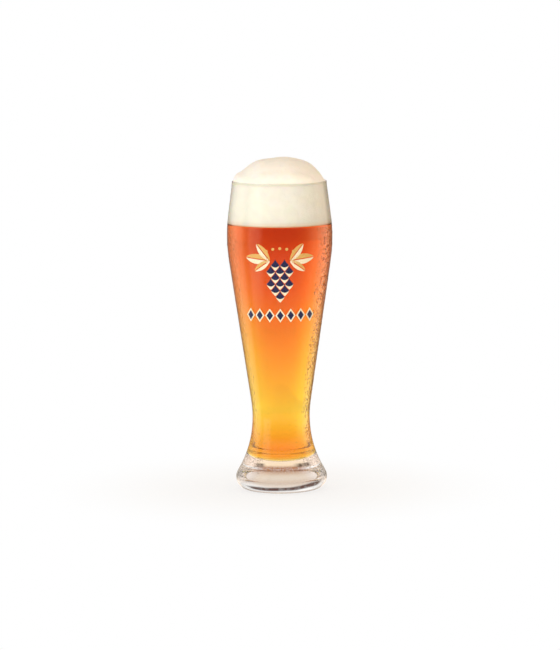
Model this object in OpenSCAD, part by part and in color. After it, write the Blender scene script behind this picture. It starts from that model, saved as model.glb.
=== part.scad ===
// Tall waisted wheat beer glass of half a litre, filled, with a dome of foam and an enamel print.
// Millimetres. The origin is the centre of the foot, where the glass stands; +Z is up.
// The front of the print faces -Y.

/* [Glass] */
// Height of the glass, from the table to the rim
glass_h = 243.5; // [225:0.5:270]
// Outer diameter at the rim
rim_d = 74.2; // [68:0.1:79]
// Outer diameter at the widest part of the bowl
shoulder_d = 82.6; // [78:0.1:92]
// Distance from the rim down to the widest part of the bowl
shoulder_drop = 44.5; // [36:0.5:50]
// Outer diameter at the waist
waist_d = 45; // [40:0.1:52]
// Height of the waist
waist_z = 58; // [52:1:66]
// Outer diameter of the swelling at the base
bulge_d = 71.6; // [66:0.1:80]
// Height of the middle of the swelling
bulge_z = 10; // [7:0.5:13]
// Outer diameter of the flat foot ring
foot_d = 52; // [44:0.5:60]
// Width of the flat foot ring
foot_ring_w = 4; // [2:0.5:8]
// Height of the hollow under the foot
punt_h = 4.5; // [4:0.1:9]
// Radius of the rounded corner at the top of that hollow
punt_round = 3; // [1:0.5:3.5]
// Wall of the glass at the rim
rim_wall = 2; // [1.4:0.1:3]
// Wall of the glass at the waist
waist_wall = 3.2; // [2.4:0.1:4.5]

/* [Cavity] */
// Height of the lowest point of the cavity, over the heavy base
cavity_z = 20.5; // [16:0.5:26]
// Inner diameter of the cavity over its rounded bottom
cavity_d = 42.4; // [36:0.1:46]
// Height of the cavity's rounded bottom
cavity_round_h = 7; // [4:0.5:12]

/* [Fill] */
// Distance from the rim down to the line between beer and foam
beer_drop = 33.5; // [20:0.5:40]
// Height of the foam's top over the rim
head_rise = 18.5; // [8:0.5:26]
// Depth of the foam's rounded edge below the rim
head_lip_drop = 1; // [0.5:0.1:3]
// Radius of the soft mound behind the middle of the head
mound_r = 30; // [24:0.5:34]
// How far the mound lies to the right of the middle
mound_x = 3; // [0:0.5:6]
// How far the mound lies behind the middle
mound_y = 5; // [0:0.5:8]

/* [Print] */
// Thickness of the enamel
print_t = 0.15; // [0.08:0.01:0.3]
// Distance from the widest part of the bowl down to the middle of the top row of hop scales
cone_drop = 18; // [14:0.5:22]
// Width of one hop scale, measured round the glass
scale_w = 7.2; // [5:0.1:8]
// Height from one row of hop scales to the next
scale_row_h = 5; // [3.5:0.1:5.5]
// Gap left round each scale
scale_gap = 0.7; // [0.4:0.1:1.2]
// Length of the longest leaf blade
leaf_l = 21; // [14:0.5:24]
// Width of the longest leaf blade
leaf_w = 8; // [5:0.1:9]
// Gap along the vein of a leaf blade
vein_w = 0.7; // [0.4:0.1:1.2]
// Distance of the leaf stem from the middle of the print
leaf_stem_x = 8; // [6:0.5:10]
// Height of the leaf stem over the top row of scales
leaf_stem_rise = 3.5; // [1:0.5:8]
// Distance from the top row of hop scales down to the middle of the lozenge row
lozenge_drop = 40; // [37:0.5:46]
// Width of a lozenge, over its frame
lozenge_w = 7.6; // [5:0.1:9]
// Height of a lozenge, over its frame
lozenge_h = 11; // [7:0.1:12]
// Width of the cream frame round a lozenge
frame_w = 1; // [0.6:0.1:1.4]
// Distance from one lozenge to the next
lozenge_pitch = 8.2; // [7:0.1:9.5]
// Number of lozenges
lozenge_count = 7; // [3:2:9]
// Radius of the pearls in the arch over the cone
pearl_r = 1.15; // [0.8:0.05:1.5]
// Number of pearls
pearl_count = 5; // [3:2:7]
// Distance of the middle pearl over the top row of scales
pearl_rise = 13; // [11:0.5:15]
// Radius of the arch of pearls
pearl_arch_r = 26; // [20:1:40]

/* [Hidden] */
$fn = 96;

// Radii of the outline's named diameters
rim_r = rim_d / 2;
shoulder_r = shoulder_d / 2;
waist_r = waist_d / 2;
bulge_r = bulge_d / 2;
foot_r = foot_d / 2;
cavity_r = cavity_d / 2;

// Heights that are measured down from the rim
shoulder_z = glass_h - shoulder_drop;
beer_z = glass_h - beer_drop;
cone_top_z = shoulder_z - cone_drop;
lozenge_z = cone_top_z - lozenge_drop;

// Where the outline's straight stretches start and end, as shares of the way from one named
// station to the next: [share of the height, share of the change in radius]
taper_foot_shares = [0.1135, 0.08];
taper_top_shares = [0.83, 0.88];
bowl_foot_shares = [0.35, 0.2];
bowl_top_shares = [0.86, 0.8875];
flare_shares = [0.1875, 0.286];
// The flare's steepness, as a share of the mean steepness from the swelling to the waist
flare_steep_share = 1.91;

// How many flat steps stand for a bend, for each unit that its slope changes
bend_steps = 26;
// How many flat steps stand for a quarter of an ellipse or of the rim's round
quarter_steps = 8;
// How far a cutting or printing shape runs past what it meets
overrun = 2;

// A point on the way from station a to station b, as [height, radius]
function between(a, b, shares) = [a[0] + shares[0] * (b[0] - a[0]), a[1] + shares[1] * (b[1] - a[1])];
function slope_of(a, b) = (b[1] - a[1]) / (b[0] - a[0]);

bulge_at = [bulge_z, bulge_r];
waist_at = [waist_z, waist_r];
shoulder_at = [shoulder_z, shoulder_r];
rim_at = [glass_h, rim_r];
flare_at = between(bulge_at, waist_at, flare_shares);
taper_foot_at = between(waist_at, shoulder_at, taper_foot_shares);
taper_top_at = between(waist_at, shoulder_at, taper_top_shares);
bowl_foot_at = between(shoulder_at, rim_at, bowl_foot_shares);
bowl_top_at = between(shoulder_at, rim_at, bowl_top_shares);
flare_slope = flare_steep_share * slope_of(bulge_at, waist_at);
taper_slope = slope_of(taper_foot_at, taper_top_at);
bowl_slope = slope_of(bowl_foot_at, bowl_top_at);

// The outline's stations from the swelling up to the rim, as [height, radius, slope]
outline = [
    [bulge_z, bulge_r, 0],
    [flare_at[0], flare_at[1], flare_slope],
    [waist_z, waist_r, 0],
    [taper_foot_at[0], taper_foot_at[1], taper_slope],
    [taper_top_at[0], taper_top_at[1], taper_slope],
    [shoulder_z, shoulder_r, 0],
    [bowl_foot_at[0], bowl_foot_at[1], bowl_slope],
    [bowl_top_at[0], bowl_top_at[1], bowl_slope],
    [glass_h, rim_r, 0]
];

// The cubic curve that leaves station a and reaches station b at their slopes
function bend(z, a, b) =
    let (h = b[0] - a[0], t = (z - a[0]) / h)
    (2 * pow(t, 3) - 3 * pow(t, 2) + 1) * a[1] + (pow(t, 3) - 2 * pow(t, 2) + t) * h * a[2]
    + (3 * pow(t, 2) - 2 * pow(t, 3)) * b[1] + (pow(t, 3) - pow(t, 2)) * h * b[2];
function station_below(z, stations, i = 0) =
    i >= len(stations) - 2 || z < stations[i + 1][0] ? i : station_below(z, stations, i + 1);
function outer_r(z) =
    let (i = station_below(z, outline))
    bend(z, outline[i], outline[i + 1]);

// Heights of the outline's points: a bend gets steps, and a straight stretch only its ends
function steps_between(a, b) = 1 + round(abs(b[2] - a[2]) * bend_steps);
function heights_of(stations) = [
    for (i = [0 : len(stations) - 2])
        let (a = stations[i], b = stations[i + 1], n = steps_between(a, b))
        for (k = [0 : n - 1])
            a[0] + (b[0] - a[0]) * k / n
];
outer_heights = heights_of(outline);

// The wall thins evenly from the waist to the rim
wall_slope = (rim_wall - waist_wall) / (glass_h - waist_z);
function wall(z) = waist_wall + wall_slope * (z - waist_z);

// Below the waist the cavity has a bend of its own, down to its rounded bottom
cavity_side_z = cavity_z + cavity_round_h;
cavity_bend = [
    [cavity_side_z, cavity_r, 0],
    [waist_z, waist_r - waist_wall, -wall_slope]
];
cavity_bend_steps = 6;
function inner_r(z) = z < waist_z ? bend(z, cavity_bend[0], cavity_bend[1]) : outer_r(z) - wall(z);
inner_heights = concat(
    [for (k = [0 : cavity_bend_steps - 1])
        cavity_side_z + (waist_z - cavity_side_z) * k / cavity_bend_steps],
    [for (z = outer_heights) if (z >= waist_z) z]
);

// The rim is a half round as wide as the wall there
rim_round_r = rim_wall / 2;
rim_round_z = glass_h - rim_round_r;
rim_round_x = outer_r(rim_round_z) - rim_round_r;
lip_z = rim_round_z - head_lip_drop;

// Points of the cavity's wall, as [radius, height]
cavity_round_pts = [
    for (k = [0 : quarter_steps])
        let (a = 90 * k / quarter_steps)
        [cavity_r * sin(a), cavity_side_z - cavity_round_h * cos(a)]
];
function wall_pts(low, high) = [for (z = inner_heights) if (z > low && z < high) [inner_r(z), z]];
beer_edge_pt = [inner_r(beer_z), beer_z];
lip_pt = [inner_r(lip_z), lip_z];
beer_side_pts = concat(cavity_round_pts, wall_pts(cavity_side_z, beer_z), [beer_edge_pt]);
foam_side_pts = concat([beer_edge_pt], wall_pts(beer_z, lip_z), [lip_pt]);

// Points of the outside, from the foot up to the rim
punt_r = foot_r - foot_ring_w;
punt_pts = concat(
    [[0, punt_h]],
    [for (k = [0 : quarter_steps])
        let (a = 90 * k / quarter_steps)
        [punt_r - punt_round * (1 - sin(a)), punt_h - punt_round * (1 - cos(a))]],
    [[punt_r, 0]]
);
foot_round_pts = [
    for (k = [0 : quarter_steps - 1])
        let (a = 90 * k / quarter_steps)
        [foot_r + (bulge_r - foot_r) * sin(a), bulge_z * (1 - cos(a))]
];
rim_round_pts = [
    for (k = [0 : 2 * quarter_steps])
        let (a = 90 * k / quarter_steps)
        [rim_round_x + rim_round_r * cos(a), rim_round_z + rim_round_r * sin(a)]
];
outside_pts = concat(
    punt_pts,
    foot_round_pts,
    [for (z = outer_heights) if (z < rim_round_z) [outer_r(z), z]],
    rim_round_pts
);

function reversed(list) = [for (i = [len(list) - 1 : -1 : 0]) list[i]];

module glass() {
    cavity_pts = concat(reversed(foam_side_pts), reversed(wall_pts(cavity_side_z, beer_z)), reversed(cavity_round_pts));
    color([0.86, 0.92, 0.9, 0.4])
        rotate_extrude()
            polygon(concat(outside_pts, cavity_pts));
}

module beer() {
    color([0.9, 0.4, 0.12])
        rotate_extrude()
            polygon(concat(beer_side_pts, [[0, beer_z]]));
}

// The head's dome starts at the lip of the glass: its height follows the sine of an angle, and its
// radius a power of the cosine, a little sharper than an ellipse
head_power = 1.2;
head_h = glass_h + head_rise - lip_z;
head_steps = 2 * quarter_steps;
head_pts = [
    for (k = [1 : head_steps])
        let (a = 90 * k / head_steps)
        [lip_pt[0] * pow(cos(a), head_power), lip_z + head_h * sin(a)]
];
// The mound's top lies as high as the dome's
mound_z = glass_h + head_rise - mound_r;

module foam_head() {
    color([0.98, 0.96, 0.88])
        union() {
            rotate_extrude()
                polygon(concat(foam_side_pts, head_pts, [[0, beer_z]]));
            intersection() {
                translate([mound_x, mound_y, mound_z])
                    sphere(r = mound_r);
                translate([0, 0, lip_z])
                    cylinder(r = lip_pt[0], h = head_h + overrun);
            }
        }
}

// The print is drawn flat as [way round the glass, height] and laid round a tube of the taper's
// radius at the middle of the print, so that it is narrower towards its sides when seen from the front
print_r = outer_r((cone_top_z + lozenge_z) / 2);
function laid(points) = [for (p = points) [print_r * sin(p[0] / print_r * 180 / PI), p[1]]];

// A thin skin on the outside of the glass, cut to a flat outline that is pushed through its front
print_heights = [for (z = outer_heights) if (z >= taper_foot_at[0] && z <= bowl_foot_at[0]) z];
module enamel() {
    intersection() {
        rotate_extrude()
            polygon(concat(
                [for (z = print_heights) [outer_r(z) + print_t, z]],
                [for (z = reversed(print_heights)) [outer_r(z), z]]
            ));
        rotate([90, 0, 0])
            linear_extrude(shoulder_r + overrun)
                children();
    }
}

// A hop scale between curves that repeat from row to row, so that scales fit into one another
scale_curve_share = 0.72;
scale_steps = 3;
function scale_low(x) = -scale_row_h * pow(max(0, 1 - abs(2 * x / scale_w)), scale_curve_share);
function scale_high(x) = scale_row_h * (1 - pow(abs(2 * x / scale_w), scale_curve_share));
scale_xs = [for (k = [-scale_steps : scale_steps]) scale_w / 2 * k / scale_steps];
// The cream tip of a scale takes this share of its height
scale_tip_share = 0.3;
scale_size_share = 1 - scale_gap / (2 * scale_row_h);
function scale_pts(x0, z0, low_share, high_share) =
    let (at = function (x, share) [
        x0 + scale_size_share * x,
        z0 + scale_size_share * (scale_low(x) + share * (scale_high(x) - scale_low(x)))
    ])
    concat(
        [for (x = scale_xs) at(x, low_share)],
        [for (i = [len(scale_xs) - 2 : -1 : 1]) at(scale_xs[i], high_share)]
    );
// How many scales each row of the hop cone holds, from the top
cone_rows = [2, 3, 2, 3, 2, 1];
module hop_cone(low_share, high_share) {
    for (row = [0 : len(cone_rows) - 1])
        for (k = [0 : cone_rows[row] - 1])
            polygon(laid(scale_pts(
                (k - (cone_rows[row] - 1) / 2) * scale_w,
                cone_top_z - row * scale_row_h,
                low_share, high_share
            )));
}

// The half of a leaf blade on one side of its vein, from the stem out to its point
leaf_steps = 6;
function blade_pts(x0, z0, angle, length, width, side) =
    let (
        along = [for (k = [0 : leaf_steps]) length * k / leaf_steps],
        edge = [for (s = along) [s, side * (vein_w / 2 + (width / 2 - vein_w / 2) * pow(sin(180 * s / length), 0.8))]],
        flat = concat([[0, side * vein_w / 2]], [for (i = [1 : leaf_steps - 1]) edge[i]], [[length, side * vein_w / 2]])
    )
    [for (p = flat) [x0 + p[0] * cos(angle) - p[1] * sin(angle), z0 + p[0] * sin(angle) + p[1] * cos(angle)]];
// Blades of a leaf: [angle up from level, share of the longest blade's length and width]
blade_angles = [-34, 6, 50];
blade_shares = [0.72, 1, 0.8];
module leaf_halves(side) {
    for (hand = [-1, 1])
        for (i = [0 : len(blade_angles) - 1])
            polygon(laid([
                for (p = blade_pts(
                    leaf_stem_x, cone_top_z + leaf_stem_rise, blade_angles[i],
                    leaf_l * blade_shares[i], leaf_w * blade_shares[i], side
                ))
                    [hand * p[0], p[1]]
            ]));
}

module lozenge(x0, width, height) {
    polygon(laid([
        [x0 - width / 2, lozenge_z],
        [x0, lozenge_z - height / 2],
        [x0 + width / 2, lozenge_z],
        [x0, lozenge_z + height / 2]
    ]));
}

lozenge_xs = [for (k = [0 : lozenge_count - 1]) (k - (lozenge_count - 1) / 2) * lozenge_pitch];
// A frame's width across its slant takes more than that along the lozenge's axes
frame_axis_w = frame_w * norm([lozenge_w, lozenge_h]) / lozenge_h;
frame_axis_h = frame_w * norm([lozenge_w, lozenge_h]) / lozenge_w;
lozenge_core_w = lozenge_w - 2 * frame_axis_w;
lozenge_core_h = lozenge_h - 2 * frame_axis_h;

module print_navy() {
    color([0.06, 0.09, 0.25])
        enamel() {
            hop_cone(scale_tip_share, 1);
            for (x = lozenge_xs)
                lozenge(x, lozenge_core_w, lozenge_core_h);
        }
}

module print_cream() {
    color([0.97, 0.94, 0.84])
        enamel() {
            hop_cone(0, scale_tip_share);
            leaf_halves(-1);
            for (x = lozenge_xs)
                difference() {
                    lozenge(x, lozenge_w, lozenge_h);
                    lozenge(x, lozenge_core_w, lozenge_core_h);
                }
        }
}

pearl_step_a = 12;
module print_gold() {
    color([0.82, 0.62, 0.24])
        enamel() {
            leaf_halves(1);
            for (k = [0 : pearl_count - 1])
                let (a = (k - (pearl_count - 1) / 2) * pearl_step_a)
                translate([
                    pearl_arch_r * sin(a),
                    cone_top_z + pearl_rise - pearl_arch_r * (1 - cos(a))
                ])
                    circle(r = pearl_r);
        }
}

glass();
beer();
foam_head();
print_navy();
print_cream();
print_gold();
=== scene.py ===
import math

import bmesh
import bpy
import numpy as np
from mathutils import Matrix, Vector


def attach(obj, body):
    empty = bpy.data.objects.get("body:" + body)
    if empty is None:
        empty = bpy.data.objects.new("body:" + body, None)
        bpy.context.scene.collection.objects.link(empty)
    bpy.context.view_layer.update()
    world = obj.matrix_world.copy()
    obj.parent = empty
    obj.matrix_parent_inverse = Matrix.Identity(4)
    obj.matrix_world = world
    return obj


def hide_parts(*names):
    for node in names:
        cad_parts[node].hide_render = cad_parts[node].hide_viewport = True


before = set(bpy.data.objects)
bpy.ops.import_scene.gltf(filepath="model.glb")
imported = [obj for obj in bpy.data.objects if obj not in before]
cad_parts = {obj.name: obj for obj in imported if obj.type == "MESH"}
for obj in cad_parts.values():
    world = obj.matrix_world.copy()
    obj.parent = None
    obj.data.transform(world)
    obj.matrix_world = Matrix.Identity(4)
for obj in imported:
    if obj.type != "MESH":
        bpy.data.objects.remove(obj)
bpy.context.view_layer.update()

# Camera
# A long lens three metres away, a little above the rim, as in a catalogue picture. It is turned
# by half a degree about its own axis, because the glass leans a little to the left in the frame.
CAMERA_PLACE = Vector((0, -3.0, 0.489))
CAMERA_AIM = Vector((-0.0003, 0, 0.1296))
CAMERA_ROLL = -0.0081
CAMERA_LENS = 213

camera_data = bpy.data.cameras.new("camera")
camera_data.lens = CAMERA_LENS
camera_data.sensor_width = 36
camera_data.clip_end = 50
camera = bpy.data.objects.new("camera", camera_data)
camera_turn = (CAMERA_AIM - CAMERA_PLACE).to_track_quat("-Z", "Y").to_matrix().to_4x4()
camera.matrix_world = Matrix.Translation(CAMERA_PLACE) @ camera_turn @ Matrix.Rotation(CAMERA_ROLL, 4, "Z")
bpy.context.scene.collection.objects.link(camera)
bpy.context.scene.camera = camera

# Glass
# One machine-made soda-lime glass: fire-polished rim, wide bowl, long straight taper, waist and a
# heavy pressed base with a flat foot ring round a shallow hollow. It is turned from one outline.
GLASS_HEIGHT = 0.2435
WAIST_HEIGHT = 0.058
WAIST_RADIUS = 0.0225
RIM_WALL = 0.002
WAIST_WALL = 0.0032
FOOT_RADIUS = 0.026
FOOT_RING_WIDTH = 0.004
PUNT_HEIGHT = 0.0045
PUNT_ROUND = 0.0030
CAVITY_FLOOR = 0.0205
CAVITY_RADIUS = 0.0212
CAVITY_ROUND = 0.007
# Stations from the swelling at the base up to the rim, as height, radius and slope
OUTLINE = (
    (0.0100, 0.03580, 0.0),
    (0.0190, 0.03200, -0.529),
    (WAIST_HEIGHT, WAIST_RADIUS, 0.0),
    (0.0740, 0.02400, 0.1489),
    (0.1750, 0.03904, 0.1489),
    (0.1990, 0.04130, 0.0),
    (0.21458, 0.04046, -0.1272),
    (0.23727, 0.03757, -0.1272),
    (GLASS_HEIGHT, 0.03710, 0.0),
)
TURN_STEPS = 192
PUNT_STEPS = 12
EDGE_STEPS = 24
SIDE_STEPS = 260
RIM_STEPS = 15
FLOOR_STEPS = 20
CAVITY_STEPS = 150
MILLIMETRE = 0.001
# The soft grain that all materials share: its detail and the span of the noise that it spreads
GRAIN_DETAIL = 2.0
GRAIN_SPAN = (0.25, 0.75)
# Height of the waves in the wall and in the base in millimetres, and the heights between which the
# first gives way to the second
WALL_WAVE = 0.01
BASE_WAVE = 0.03
WAVE_HEIGHTS = (0.040, 0.022)
WAVE_FINENESS = 70.0
GLASS_IOR = 1.45
GLASS_LAMP_TINT = (0.97, 0.98, 0.97, 1)
# The foot holds a dark curved line, which is the shade under the glass bent up by the rounded edge.
# It climbs to the right, wanders, swells as it climbs and fades where the glass turns away. Here and
# below, a range of four numbers holds two values and the two levels that they give
ARC_HEIGHT = 0.0041
ARC_CLIMB = (0.003, 0.031, 0.0, 0.0028)
ARC_WANDER = 0.0004
ARC_WANDER_FINENESS = 60.0
ARC_WIDTH = 0.0024
ARC_CORE_SHARE = 0.35
ARC_SWELL = 110.0
ARC_FACING = (0.64, 0.48)
ARC_STREAK_FINENESS = 260.0
ARC_STREAKS = (0.0, 0.6, 0.95, 1.0)
ARC_TINT = (0.015, 0.004, 0.003, 1)
# Colours painted where the thick base faces the eye, for what is seen through it rather than its own
# colour: painted beige light from the table over the foot, then a mottled band of painted refraction of
# the beer's brown, then a painted cream glow under the beer, and no tint over that
PAINTED_BASE_STOPS = (
    (0.0000, (1.00, 1.00, 1.00)),
    (0.0060, (0.80, 0.68, 0.56)),
    (0.0150, (0.84, 0.70, 0.50)),
    (0.0170, (0.66, 0.40, 0.24)),
    (0.0184, (0.24, 0.065, 0.018)),
    (0.0214, (0.22, 0.055, 0.014)),
    (0.0226, (1.00, 0.90, 0.60)),
    (0.0250, (1.00, 0.92, 0.66)),
    (0.0280, (1.00, 1.00, 1.00)),
    (GLASS_HEIGHT, (1.00, 1.00, 1.00)),
)
BASE_FACING = (0.36, 0.12)
BASE_FINENESS = 800.0
BASE_MOTTLE = (0.1, 0.7, 0.84, 1.0)
# Two soft patches where the base is tinted dark olive, beside the cream patch. Four numbers tell where
# each comes in, is full, is last full and is gone: by degrees round the glass, and then by height
DARK_PATCH_DEGREES = ((-46, -38, -31, -22), (14, 30, 43, 56))
DARK_PATCH_HEIGHTS = (0.0203, 0.0215, 0.0231, 0.0244)
DARK_PATCH_FINENESS = 380.0
DARK_PATCH_CELLS = (0.1, 0.7, 0.8, 1.0)
DARK_PATCH_TINT = (0.012, 0.005, 0.002, 1)
# Mist of drops too small to model, thick on the right of the wall and thin on the left, which only
# shows where the wall is looked along. How far out to a side it begins and is full, as shares of the
# radius, the heights over which it comes and goes, its relief in millimetres, the tint of its dark
# specks and the sheen of its light ones, by height
MIST_SIDE = (0.69, 0.87)
LEFT_MIST_SIDE = (-0.72, -0.89)
LEFT_MIST_SHARE = 0.5
MIST_HEIGHTS = (0.030, 0.042, 0.2055, 0.2090)
MIST_GLANCE = (0.26, 0.50)
MIST_FINENESS = 620.0
MIST_RELIEF = 0.10
MIST_DARK_CELLS = (0.55, 0.80)
MIST_TINT = (0.20, 0.06, 0.03, 1)
MIST_LIGHT_CELLS = (0.6, 0.2, 0.15, 1.0)
MIST_SHEEN = (0.08, 0.19, 0.95, 0.5)
MIST_SHEEN_TINT = (1.0, 0.66, 0.48, 1)
# A paler mist lies on the sides of the base: its heights, where it comes in and its sheen by cell
BASE_MIST_HEIGHTS = (0.002, 0.007, 0.024, 0.029)
BASE_MIST_GLANCE = (0.15, 0.45)
BASE_MIST_SHEEN = (0.2, 0.8, 0.35, 0.75)
BASE_SHEEN_TINT = (1.0, 0.97, 0.92, 1)
# The wall's tint by how far it turns away from the eye, from 0 face on to 1 edge on: painted grey shade
# where the glass is clear or holds foam, and a painted warm glow where the beer shines into it
CLEAR_EDGE_SHADE_STOPS = (
    (0.00, (1.00, 1.00, 1.00)),
    (0.60, (1.00, 1.00, 1.00)),
    (0.78, (0.92, 0.90, 0.86)),
    (0.95, (0.68, 0.66, 0.58)),
)
BEER_EDGE_GLOW_STOPS = (
    (0.00, (1.00, 1.00, 1.00)),
    (0.55, (1.00, 1.00, 1.00)),
    (0.78, (0.92, 0.77, 0.62)),
    (0.95, (0.66, 0.40, 0.26)),
)
# The heights between which the second comes in over the base and goes again under the foam
OVER_BASE = (0.024, 0.034)
UNDER_FOAM = (0.2110, 0.2090)
# The tint by height in metres, from the thick base over the clear wall to the greenish rim
GLASS_HEIGHT_STOPS = (
    (0.000, (0.92, 0.89, 0.87)),
    (0.018, (0.92, 0.90, 0.87)),
    (0.030, (1.00, 1.00, 1.00)),
    (0.2420, (1.00, 1.00, 1.00)),
    (0.2427, (0.72, 0.73, 0.62)),
    (GLASS_HEIGHT, (0.80, 0.80, 0.72)),
)
WHITE = (1, 1, 1, 1)


def bend(z, low, high):
    """The cubic curve between two stations: it leaves the low one and reaches the high one at
    their own radii and slopes."""
    height = high[0] - low[0]
    t = (z - low[0]) / height
    leaving = (2 * t**3 - 3 * t**2 + 1) * low[1] + (t**3 - 2 * t**2 + t) * height * low[2]
    reaching = (3 * t**2 - 2 * t**3) * high[1] + (t**3 - t**2) * height * high[2]
    return leaving + reaching


def outer_radius(z):
    """The glass's outer radius at heights z: each height lies on the bend between the stations
    below and above it."""
    z = np.asarray(z, float)
    pairs = list(zip(OUTLINE[:-1], OUTLINE[1:]))
    between = [(z >= low[0]) & (z <= high[0]) for low, high in pairs]
    return np.select(between, [bend(z, low, high) for low, high in pairs], OUTLINE[-1][1])


def inner_radius(z):
    """The cavity's radius at heights z: the outer radius less a wall that thins evenly from waist
    to rim, and below the waist one bend down to the cavity's rounded floor."""
    z = np.asarray(z, float)
    thinning = (WAIST_WALL - RIM_WALL) / (GLASS_HEIGHT - WAIST_HEIGHT)
    wall = WAIST_WALL - thinning * (z - WAIST_HEIGHT)
    side = (CAVITY_FLOOR + CAVITY_ROUND, CAVITY_RADIUS, 0.0)
    waist = (WAIST_HEIGHT, WAIST_RADIUS - WAIST_WALL, thinning)
    return np.where(z < WAIST_HEIGHT, bend(z, side, waist), outer_radius(z) - wall)


def quarter(steps, ends=True):
    """Angles from nought to a right angle."""
    return np.linspace(0, math.pi / 2, steps, endpoint=ends)


def cavity_outline(top, grow=0.0):
    """Radius and height along the cavity from the middle of its floor up to height top: a quarter
    of an ellipse, then the wall. grow moves it outwards into the glass."""
    a = quarter(FLOOR_STEPS, ends=False)
    floor_r = (CAVITY_RADIUS + grow) * np.sin(a)
    floor_z = CAVITY_FLOOR + CAVITY_ROUND - (CAVITY_ROUND + grow) * np.cos(a)
    side_z = np.linspace(CAVITY_FLOOR + CAVITY_ROUND, top, CAVITY_STEPS)
    return np.concatenate([floor_r, inner_radius(side_z) + grow]), np.concatenate([floor_z, side_z])


def turned(radius, height):
    """A grid of points: each row is a circle of that radius at that height."""
    a = np.linspace(0, 2 * math.pi, TURN_STEPS, endpoint=False)
    x = np.outer(radius, np.cos(a))
    y = np.outer(radius, np.sin(a))
    z = np.broadcast_to(np.asarray(height)[:, None], x.shape)
    return np.stack([x, y, z], axis=-1)


def grid_faces(rows, columns, wrap):
    """Four corners for each cell of a grid whose points are counted row by row. With wrap, the
    last column joins the first."""
    r = np.arange(rows - 1)[:, None]
    c = np.arange(columns if wrap else columns - 1)[None, :]
    after = (c + 1) % columns
    corners = (r * columns + c, r * columns + after, (r + 1) * columns + after, (r + 1) * columns + c)
    return np.stack(np.broadcast_arrays(*corners), axis=-1).reshape(-1, 4)


def add_piece(name, grids, wrap=True, closed=True):
    """A mesh of one or many grids of the same size, given as an array of grids, rows, columns and
    three coordinates. Points that meet are merged, which closes poles and seams."""
    grids = np.asarray(grids)
    if grids.ndim == 3:
        grids = grids[None]
    count, rows, columns, _ = grids.shape
    faces = grid_faces(rows, columns, wrap)
    every = (np.arange(count)[:, None, None] * rows * columns + faces[None]).reshape(-1, 4)
    mesh = bpy.data.meshes.new(name)
    mesh.from_pydata(grids.reshape(-1, 3).tolist(), [], every.tolist())
    work = bmesh.new()
    work.from_mesh(mesh)
    bmesh.ops.remove_doubles(work, verts=work.verts, dist=1e-7)
    if closed:
        bmesh.ops.recalc_face_normals(work, faces=work.faces)
    work.to_mesh(mesh)
    work.free()
    mesh.polygons.foreach_set("use_smooth", np.ones(len(mesh.polygons), bool))
    piece = bpy.data.objects.new(name, mesh)
    bpy.context.scene.collection.objects.link(piece)
    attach(piece, "root")
    return piece


def new_material(name, piece):
    """An empty node material on a piece, with its Principled shader and output."""
    material = bpy.data.materials.new(name)
    material.use_nodes = True
    piece.data.materials.append(material)
    nodes = material.node_tree.nodes
    return material.node_tree, nodes["Principled BSDF"], nodes["Material Output"]


def feed(pairs):
    """Gives each socket its value, which is set if it is plain and linked if it is a socket too."""
    for socket, value in pairs:
        if isinstance(value, bpy.types.NodeSocket):
            socket.id_data.links.new(value, socket)
        else:
            socket.default_value = value


def tree_of(*values):
    """The node tree that holds the first socket among the values."""
    return next(value for value in values if isinstance(value, bpy.types.NodeSocket)).id_data


def new_math(operation, *values):
    """A Math node with its operation, each input a socket or a number."""
    node = tree_of(*values).nodes.new("ShaderNodeMath")
    node.operation = operation
    feed(zip(node.inputs, values))
    return node.outputs[0]


def product(first, *others):
    """All the values multiplied together, each a socket or a number."""
    for other in others:
        first = new_math("MULTIPLY", first, other)
    return first


def mix_colours(blend, share, first, second):
    """A colour mix: share, first and second are each a socket or a value."""
    mix = tree_of(share, first, second).nodes.new("ShaderNodeMix")
    mix.data_type = "RGBA"
    mix.blend_type = blend
    for name, kind, value in (("Factor", "VALUE", share), ("A", "RGBA", first), ("B", "RGBA", second)):
        feed([(next(s for s in mix.inputs if s.name == name and s.type == kind), value)])
    return next(s for s in mix.outputs if s.type == "RGBA")


def range_node(value, low, high, to_low=0.0, to_high=1.0, kind="SMOOTHSTEP"):
    """A value that runs from to_low at low to to_high at high, smoothly or, if its kind is linear,
    evenly. It stays level past them."""
    span = value.id_data.nodes.new("ShaderNodeMapRange")
    span.interpolation_type = kind
    names = "Value", "From Min", "From Max", "To Min", "To Max"
    feed(zip([span.inputs[name] for name in names], (value, low, high, to_low, to_high)))
    return span.outputs[0]


def window(value, low, full_low, full_high, high):
    """One between full_low and full_high, and smoothly down to nought at low and at high."""
    rising = range_node(value, low, full_low)
    return product(rising, range_node(value, high, full_high))


def ramp_node(value, stops):
    """The colour at a value. It runs evenly from stop to stop, each of which is a value and its
    colour."""
    low, high = stops[0][0], stops[-1][0]
    ramp = value.id_data.nodes.new("ShaderNodeValToRGB")
    feed([(ramp.inputs["Fac"], range_node(value, low, high, kind="LINEAR"))])
    elements = ramp.color_ramp.elements
    while len(elements) < len(stops):
        elements.new(0.5)
    for element, (place, colour) in zip(elements, stops):
        element.position = (place - low) / (high - low)
        element.color = (*colour, 1)
    return ramp.outputs["Color"]


def object_place(tree):
    """Each place on the piece, in metres from the middle of the foot."""
    return tree.nodes.new("ShaderNodeTexCoord").outputs["Object"]


def parts_of(vector):
    """The X, Y and Z of a place or a direction."""
    parts = vector.id_data.nodes.new("ShaderNodeSeparateXYZ")
    feed([(parts.inputs[0], vector)])
    return parts.outputs


def object_height(tree):
    """The height of each place on the piece, in metres over the table."""
    return parts_of(object_place(tree))["Z"]


def vector_node(operation, vector):
    """A Vector Math node whose first input is the vector."""
    node = vector.id_data.nodes.new("ShaderNodeVectorMath")
    node.operation = operation
    feed([(node.inputs[0], vector)])
    return node


def facing_away(tree):
    """How far the surface turns away from the eye: nought face on and one edge on."""
    weight = tree.nodes.new("ShaderNodeLayerWeight")
    weight.inputs["Blend"].default_value = 0.5
    return weight.outputs["Facing"]


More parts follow.
